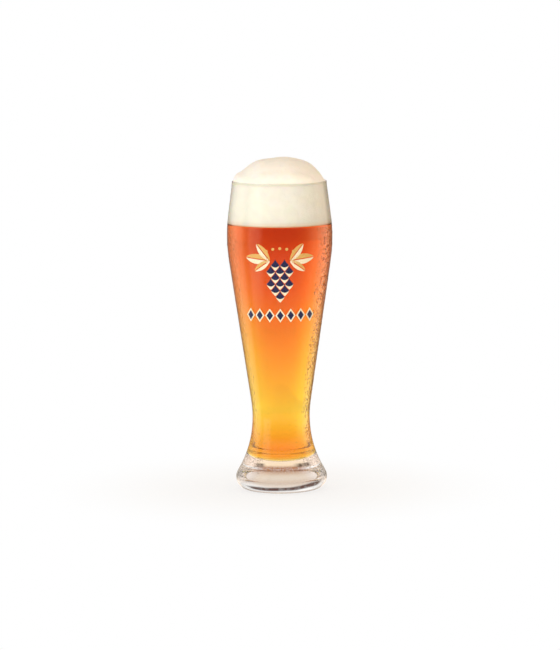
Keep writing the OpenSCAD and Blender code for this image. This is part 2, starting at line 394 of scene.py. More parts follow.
def grain_texture(tree, fineness):
    """Soft uneven patches that run through the piece, from 0 to 1. Their fineness is a socket or a
    number of waves a metre."""
    noise = tree.nodes.new("ShaderNodeTexNoise")
    names = "Vector", "Scale", "Detail"
    feed(zip([noise.inputs[name] for name in names], (object_place(tree), fineness, GRAIN_DETAIL)))
    return range_node(noise.outputs["Fac"], *GRAIN_SPAN)


def new_group(name, input_name, input_kind, output_name):
    """A node group with one input and one number as its output, and the two sockets inside it."""
    group = bpy.data.node_groups.new(name, "ShaderNodeTree")
    group.interface.new_socket(input_name, in_out="INPUT", socket_type=input_kind)
    group.interface.new_socket(output_name, in_out="OUTPUT", socket_type="NodeSocketFloat")
    return group, group.nodes.new("NodeGroupInput").outputs[0], group.nodes.new("NodeGroupOutput").inputs[0]


# The soft grain as a group that every material can place, with its own fineness
soft_grain, grain_fineness, grain_level = new_group("soft_grain", "Fineness", "NodeSocketFloat", "Value")
soft_grain.links.new(grain_texture(soft_grain, grain_fineness), grain_level)
# A direction's angle round the glass as a share of a turn, found from its x and y: nought and one
# lie behind the glass, and a half faces the camera
round_angle, direction_in, share_out = new_group("round_angle", "Direction", "NodeSocketVector", "Share")
direction_parts = parts_of(direction_in)
ahead = product(direction_parts["Y"], -1.0)
turn_angle = new_math("ARCTAN2", direction_parts["X"], ahead)
turn_share = new_math("MULTIPLY_ADD", turn_angle, 1 / (2 * math.pi), 0.5)
round_angle.links.new(turn_share, share_out)


def grain_node(tree, fineness):
    """The grain group placed in a material, with its fineness in waves a metre."""
    grain = tree.nodes.new("ShaderNodeGroup")
    grain.node_tree = soft_grain
    grain.inputs[0].default_value = fineness
    return grain.outputs[0]


def round_node(direction):
    """The round angle of a place or direction, in a material."""
    turn = direction.id_data.nodes.new("ShaderNodeGroup")
    turn.node_tree = round_angle
    feed([(turn.inputs[0], direction)])
    return turn.outputs[0]


def make_clear(shader, index):
    """Sets a shader to something clear and polished that bends light by its index."""
    names = "Roughness", "IOR", "Transmission Weight"
    feed(zip([shader.inputs[name] for name in names], (0.0, index, 1.0)))


def add_bump(shader, height, distance, strength=1.0):
    """Gives a shader's surface a relief, whose height counts in distances."""
    bump = height.id_data.nodes.new("ShaderNodeBump")
    names = "Height", "Distance", "Strength"
    feed(zip([bump.inputs[name] for name in names], (height, distance, strength)))
    feed([(shader.inputs["Normal"], bump.outputs["Normal"])])


def mix_surfaces(output, share, first, second):
    """Shows the first shader and, by its share, the second."""
    mix = share.id_data.nodes.new("ShaderNodeMixShader")
    feed(zip(mix.inputs, (share, first.outputs[0], second.outputs[0])))
    feed([(output.inputs["Surface"], mix.outputs[0])])


def let_lamps_pass(shader, output, colour):
    """Mixes the surface with a clear shader for shadow rays alone, so that lamps reach what lies
    behind it, tinted by colour."""
    nodes = shader.id_data.nodes
    path = nodes.new("ShaderNodeLightPath")
    clear = nodes.new("ShaderNodeBsdfTransparent")
    clear.inputs["Color"].default_value = colour
    mix_surfaces(output, path.outputs["Is Shadow Ray"], shader, clear)


def glass_outline():
    """Radius and height along the whole glass: hollow under the foot, flat ring, rounded edge, the
    outside, the half-round rim, and back down the cavity to the middle of its floor."""
    punt = quarter(PUNT_STEPS)
    punt_side = FOOT_RADIUS - FOOT_RING_WIDTH
    punt_r = np.concatenate([[0], punt_side - PUNT_ROUND * (1 - np.sin(punt)), [punt_side]])
    punt_z = np.concatenate([[PUNT_HEIGHT], PUNT_HEIGHT - PUNT_ROUND * (1 - np.cos(punt)), [0]])
    edge = quarter(EDGE_STEPS, ends=False)
    bulge_z, bulge_r, _ = OUTLINE[0]
    edge_r = FOOT_RADIUS + (bulge_r - FOOT_RADIUS) * np.sin(edge)
    rim_round = RIM_WALL / 2
    rim_z = GLASS_HEIGHT - rim_round
    rim_middle = outer_radius(rim_z) - rim_round
    side_z = np.linspace(bulge_z, rim_z, SIDE_STEPS, endpoint=False)
    over = np.linspace(0, math.pi, RIM_STEPS)
    cavity_r, cavity_z = cavity_outline(rim_z)
    radius = (punt_r, edge_r, outer_radius(side_z), rim_middle + rim_round * np.cos(over), cavity_r[-2::-1])
    height = (
        punt_z,
        bulge_z * (1 - np.cos(edge)),
        side_z,
        rim_z + rim_round * np.sin(over),
        cavity_z[-2::-1],
    )
    return np.concatenate(radius), np.concatenate(height)


glass = add_piece("clear_glass", turned(*glass_outline()))
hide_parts("glass")
glass_tree, glass_shader, glass_output = new_material("clear_glass", glass)
make_clear(glass_shader, GLASS_IOR)
# At a glancing angle the wall is looked along its length, and there it is painted darker, as shade along
# its edges, and warmer beside the beer, as its glow. Inside the glass each ray has met that painted shade
# already, so only the first hit is tinted.
first_hit = glass_tree.nodes.new("ShaderNodeLightPath").outputs["Is Camera Ray"]
facing = facing_away(glass_tree)
glass_place = object_place(glass_tree)
glass_parts = parts_of(glass_place)
glass_height = glass_parts["Z"]
clear_edge_shade = ramp_node(facing, CLEAR_EDGE_SHADE_STOPS)
beer_edge_glow = ramp_node(facing, BEER_EDGE_GLOW_STOPS)
over_base = range_node(glass_height, *OVER_BASE)
beside_beer = product(over_base, range_node(glass_height, *UNDER_FOAM))
painted_edge_light = mix_colours("MIX", beside_beer, clear_edge_shade, beer_edge_glow)
height_tint = ramp_node(glass_height, GLASS_HEIGHT_STOPS)
tint = mix_colours("MULTIPLY", 1.0, painted_edge_light, height_tint)
# The middle of the base, painted with the light and the beer seen through it
in_middle = range_node(facing, *BASE_FACING)
mottle = range_node(grain_node(glass_tree, BASE_FINENESS), *BASE_MOTTLE)
painted_base_view = ramp_node(glass_height, PAINTED_BASE_STOPS)
tint = mix_colours("MULTIPLY", product(in_middle, mottle), tint, painted_base_view)
# The dark line in the foot
arc_climb = range_node(glass_parts["X"], *ARC_CLIMB)
arc_wander = product(grain_node(glass_tree, ARC_WANDER_FINENESS), ARC_WANDER)
arc_middle = new_math("ADD", new_math("ADD", arc_climb, arc_wander), ARC_HEIGHT)
arc_off = new_math("ABSOLUTE", new_math("SUBTRACT", glass_height, arc_middle))
arc_swell = new_math("MULTIPLY_ADD", arc_climb, ARC_SWELL, 1.0)
arc_off = new_math("DIVIDE", arc_off, arc_swell)
arc_core = range_node(arc_off, ARC_WIDTH, ARC_WIDTH * ARC_CORE_SHARE)
arc_fade = range_node(facing, *ARC_FACING)
arc_streaks = range_node(grain_node(glass_tree, ARC_STREAK_FINENESS), *ARC_STREAKS)
arc_share = product(arc_core, arc_fade, arc_streaks)
tint = mix_colours("MIX", arc_share, tint, ARC_TINT)
# The two dark olive patches
glass_turn = round_node(glass_place)
dark_patch_turns = [window(glass_turn, *[a / 360 + 0.5 for a in group]) for group in DARK_PATCH_DEGREES]
dark_patch_sides = new_math("ADD", *dark_patch_turns)
dark_patch_level = window(glass_height, *DARK_PATCH_HEIGHTS)
dark_patch_cells = range_node(grain_node(glass_tree, DARK_PATCH_FINENESS), *DARK_PATCH_CELLS)
dark_patch_share = product(dark_patch_sides, dark_patch_level, dark_patch_cells)
tint = mix_colours("MULTIPLY", dark_patch_share, tint, DARK_PATCH_TINT)
# The mist, whose side and grain are worked out in the material itself, because they set its sheen
# too: the side is the way out from the axis, made one long and seen from the front
level_place = vector_node("MULTIPLY", glass_place)
level_place.inputs[1].default_value = (1, 1, 0)
way_out = vector_node("NORMALIZE", level_place.outputs[0])
sideways = parts_of(way_out.outputs[0])["X"]
mist_right = range_node(sideways, *MIST_SIDE)
mist_left = range_node(sideways, *LEFT_MIST_SIDE)
mist_turn = new_math("MULTIPLY_ADD", mist_left, LEFT_MIST_SHARE, mist_right)
mist_level = window(glass_height, *MIST_HEIGHTS)
glance = range_node(facing, *MIST_GLANCE)
mist = product(mist_turn, mist_level, glance, first_hit)
mist_cells = grain_texture(glass_tree, MIST_FINENESS)
dark_specks = product(mist, range_node(mist_cells, *MIST_DARK_CELLS))
tint = mix_colours("MULTIPLY", dark_specks, tint, MIST_TINT)
light_specks = range_node(mist_cells, *MIST_LIGHT_CELLS)
sheen = product(mist, light_specks, range_node(glass_height, *MIST_SHEEN))
base_mist = window(glass_height, *BASE_MIST_HEIGHTS)
base_glance = range_node(facing, *BASE_MIST_GLANCE)
base_specks = range_node(mist_cells, *BASE_MIST_SHEEN)
base_sheen = product(base_mist, base_glance, first_hit, base_specks)
sheen_tint = mix_colours("MIX", over_base, BASE_SHEEN_TINT, MIST_SHEEN_TINT)
glass_tree.links.new(new_math("ADD", sheen, base_sheen), glass_shader.inputs["Sheen Weight"])
glass_tree.links.new(sheen_tint, glass_shader.inputs["Sheen Tint"])
glass_tint = mix_colours("MIX", first_hit, WHITE, tint)
glass_tree.links.new(glass_tint, glass_shader.inputs["Base Color"])
# Pressed glass is never quite even: the thick base has slow waves, and the blown wall faint ones
thick = range_node(glass_height, *WAVE_HEIGHTS, WALL_WAVE, BASE_WAVE)
waves = product(grain_node(glass_tree, WAVE_FINENESS), thick)
mist_relief = product(mist, mist_cells, MIST_RELIEF)
add_bump(glass_shader, new_math("ADD", waves, mist_relief), MILLIMETRE)
let_lamps_pass(glass_shader, glass_output, GLASS_LAMP_TINT)

# Beer
# Half a litre of amber wheat beer, which fills the cavity up to the foam. It runs 0.15 mm into the
# glass, because it wets the wall and no air lies between them.
BEER_TOP = 0.2100
WETTING = 0.00015
BEER_LOW = CAVITY_FLOOR
BEER_IOR = 1.34
BEER_LAMP_TINT = (1.0, 0.55, 0.2, 1)
# Tints from the bottom of the beer to its top, through the middle and near the sides, where the way
# through the beer is shorter. The amber is the beer's own, and its change with height is painted light
# and shade: a pale yellow glow by the thin waist, where light shines through, and deep red at the top
BEER_MIDDLE_STOPS = (
    (0.000, (1.00, 0.38, 0.04)),
    (0.090, (1.00, 0.78, 0.05)),
    (0.240, (1.00, 1.00, 0.08)),
    (0.480, (1.00, 0.63, 0.06)),
    (0.740, (0.84, 0.27, 0.03)),
    (1.000, (0.57, 0.11, 0.015)),
)
BEER_SIDE_STOPS = (
    (0.000, (1.00, 0.70, 0.05)),
    (0.240, (1.00, 1.00, 0.09)),
    (0.480, (1.00, 0.95, 0.08)),
    (0.740, (1.00, 0.60, 0.06)),
    (1.000, (1.00, 0.46, 0.06)),
)
BEER_SIDE_FACING = 0.2
BEER_ABSORPTION = (1.0, 0.36, 0.012, 1)
BEER_DENSITY = 25.0
HAZE_FINENESS = 45.0
HAZE_DRIFT = 0.002
# The tint of the lowest beer for light that was mirrored on its way, which is paler than its own,
# and the heights between which it comes in
MIRRORED_BEER = (1.0, 0.95, 0.84, 1)
MIRRORED_HEIGHTS = (0.060, 0.050)


def beer_outline():
    """Radius and height along the cavity up to the foam, then in to the middle of the top."""
    side_r, side_z = cavity_outline(BEER_TOP, grow=WETTING)
    return np.append(side_r, (side_r[-1] * 0.5, 0)), np.append(side_z, (BEER_TOP, BEER_TOP))


beer = add_piece("beer_fill", turned(*beer_outline()))
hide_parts("beer")
beer_tree, beer_shader, beer_output = new_material("amber_beer", beer)
make_clear(beer_shader, BEER_IOR)
# Haze lies in slow drifts, so the height that is looked up wavers a little
beer_height = object_height(beer_tree)
haze = product(grain_node(beer_tree, HAZE_FINENESS), HAZE_DRIFT)
hazy_height = new_math("ADD", beer_height, haze)
depth = range_node(hazy_height, BEER_LOW, BEER_TOP, kind="LINEAR")
# The change of tint with height is painted glow and shade
middle = ramp_node(depth, BEER_MIDDLE_STOPS)
side = ramp_node(depth, BEER_SIDE_STOPS)
away = range_node(facing_away(beer_tree), 0.0, BEER_SIDE_FACING)
beer_tint = mix_colours("MIX", away, middle, side)
# A ray was mirrored on its way if it has met more surfaces than it went through
beer_path = beer_tree.nodes.new("ShaderNodeLightPath").outputs
mirrored_times = new_math("SUBTRACT", beer_path["Ray Depth"], beer_path["Transmission Depth"])
mirrored = new_math("GREATER_THAN", mirrored_times, 0.5)
mirrored_share = product(mirrored, range_node(beer_height, *MIRRORED_HEIGHTS))
beer_tint = mix_colours("MIX", mirrored_share, beer_tint, MIRRORED_BEER)
beer_tree.links.new(beer_tint, beer_shader.inputs["Base Color"])
absorb = beer_tree.nodes.new("ShaderNodeVolumeAbsorption")
absorb.inputs["Color"].default_value = BEER_ABSORPTION
absorb.inputs["Density"].default_value = BEER_DENSITY
beer_tree.links.new(absorb.outputs[0], beer_output.inputs["Volume"])
let_lamps_pass(beer_shader, beer_output, BEER_LAMP_TINT)

# Foam head
# Fine creamy froth that stands on the beer, sticks to the wall and domes over the rim, with a low
# lobe in front of a rounder mound. It is one closed body of tiny bubbles.
FOAM_LIP = 0.2415
FOAM_RADIUS = float(inner_radius(FOAM_LIP)) + WETTING
# Over the lip the froth lies on the rim, at this height and radius
FOAM_BED = 0.2436
FOAM_EDGE = 0.0364
# The froth's colour from the beer, which soaks its lowest millimetre, up to the crown, which is painted
# darker and warmer as shade, because it faces up, away from the light that comes mostly from the front
FOAM_TINT_AND_SHADE_STOPS = (
    (BEER_TOP, (0.92, 0.52, 0.26)),
    (0.2113, (0.97, 0.84, 0.68)),
    (0.2140, (0.98, 0.95, 0.84)),
    (FOAM_LIP, (0.98, 0.95, 0.86)),
    (0.2500, (0.88, 0.84, 0.77)),
    (0.2640, (0.83, 0.78, 0.72)),
)
FOAM_BUBBLES = 1500.0
FOAM_LUMPS = 160.0
FOAM_SHADE = 0.965
FOAM_RELIEF = 0.00012
FOAM_RELIEF_STRENGTH = 0.7
LUMP_HEIGHT_SHARE = 3.0
# The dome's hills, each with its middle, its two radii, its height over the lip and its power
BROAD_HILL = (0, 0), (0.0366, 0.0366), 0.0050, 5
MOUND = (0.0008, 0.0021), (0.0360, 0.0350), 0.0196, 3.25
LEFT_SHOULDER = (-0.0245, 0.0010), (0.0150, 0.0240), 0.0073, 5
FRONT_ROLL = (0.0015, -0.0200), (0.0300, 0.0150), 0.0111, 3
HILL_BLEND = 0.0018
FOLD_BLEND = 0.0009
# Slow waves over the dome: their height, and how fast each turns along x and y and where it starts
FOAM_WAVE = 0.00022
FOAM_WAVES = ((190, 70, 0.6), (-120, 230, 2.1), (310, 40, 0.0))
FOAM_EDGE_POWER = 40
SIDE_RINGS = 40
SWELL_RINGS = 6
DOME_RINGS = 110


def soft_max(a, b, blend):
    """The larger of two heights, rounded over a distance of about blend where they cross."""
    return np.logaddexp(a / blend, b / blend) * blend


def hill(x, y, middle, radii, height, power):
    """Height of a hill that falls from its middle by a power of the distance, measured in its radii."""
    away = np.hypot((x - middle[0]) / radii[0], (y - middle[1]) / radii[1])
    return height * (1 - away**power)


def foam_top(x, y):
    """Height of the dome over the lip at each place: a broad low hill, a high mound and a shoulder
    on the left run into one another, and a roll in front meets them in a soft fold. The edge falls
    steeply to the rim, and three slow waves make it uneven."""
    low = soft_max(hill(x, y, *BROAD_HILL), hill(x, y, *LEFT_SHOULDER), HILL_BLEND)
    height = soft_max(low, hill(x, y, *MOUND), HILL_BLEND)
    height = soft_max(height, hill(x, y, *FRONT_ROLL), FOLD_BLEND)
    waves = sum(np.sin(along * x + across * y + start) for along, across, start in FOAM_WAVES)
    lip = 1 - np.clip(np.hypot(x, y) / FOAM_EDGE, 0, 1) ** FOAM_EDGE_POWER
    return (height + FOAM_WAVE * waves) * lip


def foam_grid():
    """The side follows the cavity from the beer up to the lip. Over it the froth swells out onto
    the rim, and rings draw in from there to the middle and take their heights from the dome."""
    side_z = np.linspace(BEER_TOP, FOAM_LIP, SIDE_RINGS, endpoint=False)
    side = turned(inner_radius(side_z) + WETTING, side_z)
    swell = quarter(SWELL_RINGS, ends=False)
    swell_r = FOAM_RADIUS + (FOAM_EDGE - FOAM_RADIUS) * np.sin(swell)
    swell_z = FOAM_LIP + (FOAM_BED - FOAM_LIP) * (1 - np.cos(swell))
    dome = turned(FOAM_EDGE * np.sin(quarter(DOME_RINGS))[::-1], np.zeros(DOME_RINGS))
    dome[..., 2] = FOAM_BED + np.maximum(foam_top(dome[..., 0], dome[..., 1]) - FOAM_BED + FOAM_LIP, 0)
    bottom = turned(np.array([0, side[0, 0, 0] / 2]), np.array([BEER_TOP, BEER_TOP]))
    return np.concatenate([bottom, side, turned(swell_r, swell_z), dome])


foam = add_piece("foam_froth", foam_grid())
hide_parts("foam_head")
foam_tree, foam_shader, _ = new_material("beer_foam", foam)
# The crown's darker tint in these stops is painted shade
foam_tint_and_shade = ramp_node(object_height(foam_tree), FOAM_TINT_AND_SHADE_STOPS)
# Lumps darken the cream a little, and lumps and bubbles make it rough
foam_lumps = grain_node(foam_tree, FOAM_LUMPS)
foam_cells = grain_node(foam_tree, FOAM_BUBBLES)
foam_shade = range_node(foam_lumps, 0.0, 1.0, FOAM_SHADE, 1.0)
foam_colour = mix_colours("MULTIPLY", 1.0, foam_tint_and_shade, foam_shade)
foam_tree.links.new(foam_colour, foam_shader.inputs["Base Color"])
foam_height = new_math("MULTIPLY_ADD", foam_lumps, LUMP_HEIGHT_SHARE, foam_cells)
add_bump(foam_shader, foam_height, FOAM_RELIEF, FOAM_RELIEF_STRENGTH)
foam_shader.inputs["Roughness"].default_value = 0.75
foam_shader.inputs["Subsurface Weight"].default_value = 0.5
foam_shader.inputs["Subsurface Radius"].default_value = (0.006, 0.004, 0.002)
foam_shader.inputs["Subsurface Scale"].default_value = 1.0

# Print
# Three colours of enamel, screened on the front and fired: a hop cone between two leaves, with an
# arch of pearls over it and a row of framed lozenges below. Each colour is a thin raised layer.
PRINT_THICKNESS = 0.00015
CONE_TOP = 0.181
SCALE_WIDTH = 0.0072
SCALE_ROW = 0.005
SCALE_GAP = 0.0007
SCALE_SHARE = 1 - SCALE_GAP / (2 * SCALE_ROW)
SCALE_POWER = 0.72
TIP_SHARE = 0.3
CONE_ROWS = (2, 3, 2, 3, 2, 1)
LEAF_LENGTH = 0.021
LEAF_WIDTH = 0.008
LEAF_POWER = 0.8
VEIN_WIDTH = 0.0007
LEAF_STEM_X = 0.008
LEAF_STEM_Z = CONE_TOP + 0.0035
# Each blade's turn about the stem in degrees, and its size as a share of the leaf's
BLADES = ((-34, 0.72), (6, 1.0), (50, 0.8))
LOZENGE_Z = 0.141
LOZENGE_WIDTH = 0.0076
LOZENGE_HEIGHT = 0.011
LOZENGE_PITCH = 0.0082
LOZENGE_COUNT = 7
FRAME_WIDTH = 0.001
PRINT_MIDDLE_RADIUS = float(outer_radius((CONE_TOP + LOZENGE_Z) / 2))
PEARL_RADIUS = 0.00115
PEARL_COUNT = 5
PEARL_STEP = math.radians(12)
PEARL_ARCH = 0.026
PEARL_TOP = CONE_TOP + 0.013
ENAMEL_GRAIN = 1100.0
ENAMEL_RELIEF = 0.00003
ENAMEL_WEAR = 0.2
DARK_ROUGHNESS = 0.25
PALE_ROUGHNESS = 0.3
PATCH_ROWS = 9
PATCH_COLUMNS = 17


def patch_shares(left, right, low, high):
    """The shares across and up a patch, as a row and a column that span it together."""
    return np.linspace(left, right, PATCH_COLUMNS)[None, :], np.linspace(low, high, PATCH_ROWS)[:, None]


def laid(across, height):
    """Lays a flat drawing round the front of the glass: the way across becomes an arc round a tube
    of the print's middle radius, and every point then lies on the glass's outside."""
    x = PRINT_MIDDLE_RADIUS * np.sin(across / PRINT_MIDDLE_RADIUS)
    y = -np.sqrt(outer_radius(height) ** 2 - x**2)
    return np.stack(np.broadcast_arrays(x, y, height), axis=-1)


def scale_patch(x0, z0, low_share, high_share):
    """A hop scale: its lower edge falls to a point by a power of the way in from its side, and its
    upper edge is the lower edge of the scales above. The patch spans two shares between them."""
    u, v = patch_shares(-1, 1, low_share, high_share)
    low = -SCALE_ROW * (1 - abs(u)) ** SCALE_POWER
    high = SCALE_ROW * (1 - abs(u) ** SCALE_POWER)
    x = x0 + SCALE_SHARE * SCALE_WIDTH / 2 * u + 0 * v
    return laid(x, z0 + SCALE_SHARE * (low + v * (high - low)))


def cone_patches(low_share, high_share):
    """The scales of the hop cone, row by row from the top."""
    return [
        scale_patch((k - (count - 1) / 2) * SCALE_WIDTH, CONE_TOP - row * SCALE_ROW, low_share, high_share)
        for row, count in enumerate(CONE_ROWS)
        for k in range(count)
    ]


def leaf_patches(side):
    """The blades' halves on one side of their veins: the width swells with the sine of the way
    along, and each blade is turned about the stem by its own angle."""
    patches = []
    for hand in (-1, 1):
        for degrees, share in BLADES:
            length, width = LEAF_LENGTH * share, LEAF_WIDTH * share
            along, out = patch_shares(0, 1, 0, 1)
            swell = np.sin(math.pi * along).clip(0) ** LEAF_POWER
            off = side * (VEIN_WIDTH / 2 + out * (width - VEIN_WIDTH) / 2 * swell)
            turn = math.radians(degrees)
            x = LEAF_STEM_X + along * length * math.cos(turn) - off * math.sin(turn)
            z = LEAF_STEM_Z + along * length * math.sin(turn) + off * math.cos(turn)
            patches.append(laid(hand * x, z))
    return patches


def lozenge_places():
    """The middles of the lozenges, measured round the glass."""
    return (np.arange(LOZENGE_COUNT) - (LOZENGE_COUNT - 1) / 2) * LOZENGE_PITCH


def lozenge_core():
    """Width and height inside a lozenge's frame, whose width is measured across its slant."""
    slant = math.hypot(LOZENGE_WIDTH, LOZENGE_HEIGHT)
    width = LOZENGE_WIDTH - 2 * FRAME_WIDTH * slant / LOZENGE_HEIGHT
    return width, LOZENGE_HEIGHT - 2 * FRAME_WIDTH * slant / LOZENGE_WIDTH


def lozenge_patch(x0, width, height):
    """A filled lozenge: its height falls evenly to nothing on both sides of its middle."""
    u, v = patch_shares(-1, 1, -1, 1)
    return laid(x0 + width / 2 * u + 0 * v, LOZENGE_Z + height / 2 * (1 - abs(u)) * v)


def frame_patches(x0):
    """The four sides of a lozenge's frame, each between its inner and its outer edge."""
    width, height = lozenge_core()
    t, out = patch_shares(0, 1, 0, 1)
    half_w = (width + out * (LOZENGE_WIDTH - width)) / 2
    half_h = (height + out * (LOZENGE_HEIGHT - height)) / 2
    return [
        laid(x0 + across * half_w * (1 - t), LOZENGE_Z + up * half_h * t)
        for across in (-1, 1)
        for up in (-1, 1)
    ]


def pearl_patch(k):
    """A round dot on the arch, as rings about its middle."""
    swing = (k - (PEARL_COUNT - 1) / 2) * PEARL_STEP
    a, r = patch_shares(0, 2 * math.pi, 0, PEARL_RADIUS)
    x = PEARL_ARCH * math.sin(swing) + r * np.cos(a)
    return laid(x, PEARL_TOP - PEARL_ARCH * (1 - math.cos(swing)) + r * np.sin(a))


def facing_out(patches):
    """Turns each patch whose middle cell faces the axis, so that all face away from the glass."""
    patches = np.asarray(patches)
    row, column = PATCH_ROWS // 2, PATCH_COLUMNS // 2
    corner = patches[:, row, column]
    normal = np.cross(patches[:, row, column + 1] - corner, patches[:, row + 1, column] - corner)
    inwards = normal[:, 1] > 0
    patches[inwards] = patches[inwards][:, :, ::-1]
    return patches


def add_enamel(name, node, slot, patches, colour, worn, roughness):
    """One colour of the print: its patches on the glass, thickened outwards. Screened enamel varies
    a little in tone and gloss over its own grain, from colour where it lies thick to worn."""
    piece = add_piece(name, facing_out(patches), wrap=False, closed=False)
    skin = piece.modifiers.new("thickness", "SOLIDIFY")
    skin.thickness = PRINT_THICKNESS
    skin.offset = 1
    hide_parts(node)
    tree, shader, _ = new_material(slot, piece)
    grain = grain_node(tree, ENAMEL_GRAIN)
    wear = range_node(grain, 0.0, 1.0, roughness, roughness + ENAMEL_WEAR)
    tree.links.new(mix_colours("MIX", grain, colour, worn), shader.inputs["Base Color"])
    tree.links.new(wear, shader.inputs["Roughness"])
    add_bump(shader, grain, ENAMEL_RELIEF)
    shader.inputs["Coat Weight"].default_value = 0.3
    shader.inputs["Coat Roughness"].default_value = 0.1


places = lozenge_places()
core = lozenge_core()
navy = cone_patches(TIP_SHARE, 1) + [lozenge_patch(x, *core) for x in places]
cream = cone_patches(0, TIP_SHARE) + leaf_patches(-1) + [p for x in places for p in frame_patches(x)]
gold = leaf_patches(1) + [pearl_patch(k) for k in range(PEARL_COUNT)]
NAVY, WORN_NAVY = (0.010, 0.014, 0.060, 1), (0.022, 0.030, 0.110, 1)
CREAM, WORN_CREAM = (0.90, 0.83, 0.64, 1), (0.80, 0.68, 0.46, 1)
GOLD, WORN_GOLD = (0.76, 0.47, 0.13, 1), (0.60, 0.33, 0.09, 1)
add_enamel("enamel_navy", "print_navy", "navy_enamel", navy, NAVY, WORN_NAVY, DARK_ROUGHNESS)
add_enamel("enamel_cream", "print_cream", "cream_enamel", cream, CREAM, WORN_CREAM, PALE_ROUGHNESS)
add_enamel("enamel_gold", "print_gold", "gold_enamel", gold, GOLD, WORN_GOLD, PALE_ROUGHNESS)

# Condensation
# Water that the cold glass has drawn from the air: fine lens-shaped drops in a dense veil on the
# right side and round the flare, and a few elsewhere. Each drop is sunk a little into the wall.
SEED = 7
DROP_COLUMNS = 8
DROP_SHARES = (0.0, 0.5, 0.85, 1.0, 0.0)
DROP_LIFTS = (1.0, 0.80, 0.34, 0.0, -0.15)
DROP_FLATNESS = 0.38
DROP_SINK = 0.00004
WATER_IOR = 1.33
WATER_LAMP_TINT = (0.98, 0.98, 0.98, 1)
RIPPLE_FINENESS = 900.0
RIPPLE_RELIEF = 0.00002
# Fields of drops: how many, between which degrees round the glass and which heights, from which
# radius to which, how common small ones are and how far the largest are drawn out
SIDE_FIELDS = (
    (2600, (46, 128), (0.062, 0.2085), (0.00020, 0.00052), 2.0, 2.0),
    (150, (-150, -52), (0.045, 0.2065), (0.00022, 0.0007), 2.0, 1.6),
)
FLARE_FIELDS = (
    (560, (34, 90), (0.0160, 0.0275), (0.00015, 0.00040), 1.6, 1.3),
    (560, (-90, -30), (0.0160, 0.0275), (0.00015, 0.00040), 1.6, 1.3),
    (90, (-30, 34), (0.0170, 0.0216), (0.00015, 0.00036), 1.6, 1.3),
)
SIDE_WATER = (1.0, 0.72, 0.48, 1)
FLARE_WATER = (0.96, 0.92, 0.84, 1)
random = np.random.default_rng(SEED)


def drop_grids(azimuth, z, radius, stretch):
    """One small lens for each drop: rings whose radius and height follow the shares and lifts,
    laid in the plane that touches the wall there. Stretch draws a drop out along the wall."""
    azimuth, z, radius, stretch = (np.asarray(v)[:, None, None, None] for v in (azimuth, z, radius, stretch))
    step = 0.0001
    slope = (outer_radius(z + step) - outer_radius(z - step)) / (2 * step)
    out = np.concatenate([np.sin(azimuth), -np.cos(azimuth), 0 * azimuth], axis=-1)
    round_way = np.concatenate([np.cos(azimuth), np.sin(azimuth), 0 * azimuth], axis=-1)
    up = np.array([0, 0, 1.0])
    size = np.hypot(1, slope)
    along = (slope * out + up) / size
    normal = (out - slope * up) / size
    middle = outer_radius(z) * out + z * up - DROP_SINK * normal
    a = np.linspace(0, 2 * math.pi, DROP_COLUMNS, endpoint=False)[None, None, :, None]
    share = np.array(DROP_SHARES)[None, :, None, None] * radius
    lift = np.array(DROP_LIFTS)[None, :, None, None] * radius * DROP_FLATNESS
    return middle + share * (np.cos(a) * round_way + stretch * np.sin(a) * along) + lift * normal


def drop_field(count, azimuths, heights, radii, crowd, longest):
    """Seeded drops between two azimuths in degrees and two heights: crowd is the power that makes
    small drops the common ones, and longest the stretch of the largest."""
    azimuth = np.radians(random.uniform(*azimuths, count))
    z = random.uniform(*heights, count)
    size = random.random(count) ** crowd
    radius = radii[0] + (radii[1] - radii[0]) * size
    stretch = 1 + (longest - 1) * size * random.random(count)
    return drop_grids(azimuth, z, radius, stretch)


def add_condensation(name, fields, colour):
    """All the drops of some fields. Their water has faint ripples and lets lamps through, and it is
    tinted by what shines into it."""
    piece = add_piece(name, np.concatenate([drop_field(*field) for field in fields]))
    tree, shader, output = new_material(name, piece)
    make_clear(shader, WATER_IOR)
    shader.inputs["Base Color"].default_value = colour
    add_bump(shader, grain_node(tree, RIPPLE_FINENESS), RIPPLE_RELIEF)
    let_lamps_pass(shader, output, WATER_LAMP_TINT)


add_condensation("condensation_side", SIDE_FIELDS, SIDE_WATER)
add_condensation("condensation_flare", FLARE_FIELDS, FLARE_WATER)

# Bubbles
# Carbon dioxide in the beer: three thin streams that rise from the floor of the glass and beads
# that cling to the wall near the bottom. Each bubble is a small ball of gas.
BUBBLE_ROWS = 6
BUBBLE_COLUMNS = 8
BUBBLE_RADII = (0.00018, 0.00038)
STREAMS = ((0.004, 0.006), (-0.007, 0.009), (0.009, -0.005))
STREAM_COUNT = 34
STREAM_GAP = 0.003
STREAM_POWER = 1.25
STREAM_SWAY = 0.0006
SWAY_TURNS = (9, 80)
BEAD_COUNT = 46
BEAD_DEGREES = (-60, -25)
BEAD_HEIGHTS = (0.027, 0.045)
BEAD_INSET = 0.0006
FILM_FINENESS = 2500.0
FILM_SHADE = 0.93


def bubble_grids(places, radii):
    """A ball at each place, as rings from pole to pole."""
    polar = np.linspace(0, math.pi, BUBBLE_ROWS)[None, :, None, None]
    a = np.linspace(0, 2 * math.pi, BUBBLE_COLUMNS, endpoint=False)[None, None, :, None]
    ring = np.sin(polar) * np.concatenate([np.cos(a), np.sin(a), 0 * a], axis=-1)
    ball = ring + np.cos(polar) * np.array([0, 0, 1.0])
    return places[:, None, None, :] + np.asarray(radii)[:, None, None, None] * ball


def stream_places(x, y):
    """Bubbles that start close together and draw apart as they rise, with a slow sway."""
    rise = np.linspace(0, 1, STREAM_COUNT) ** STREAM_POWER
    z = CAVITY_FLOOR + STREAM_GAP + (BEER_TOP - CAVITY_FLOOR - 2 * STREAM_GAP) * rise
    sway = STREAM_SWAY * np.sin(SWAY_TURNS[0] * rise + SWAY_TURNS[1] * x)
    return np.stack([x + sway, y + 0.5 * sway, z], axis=-1)


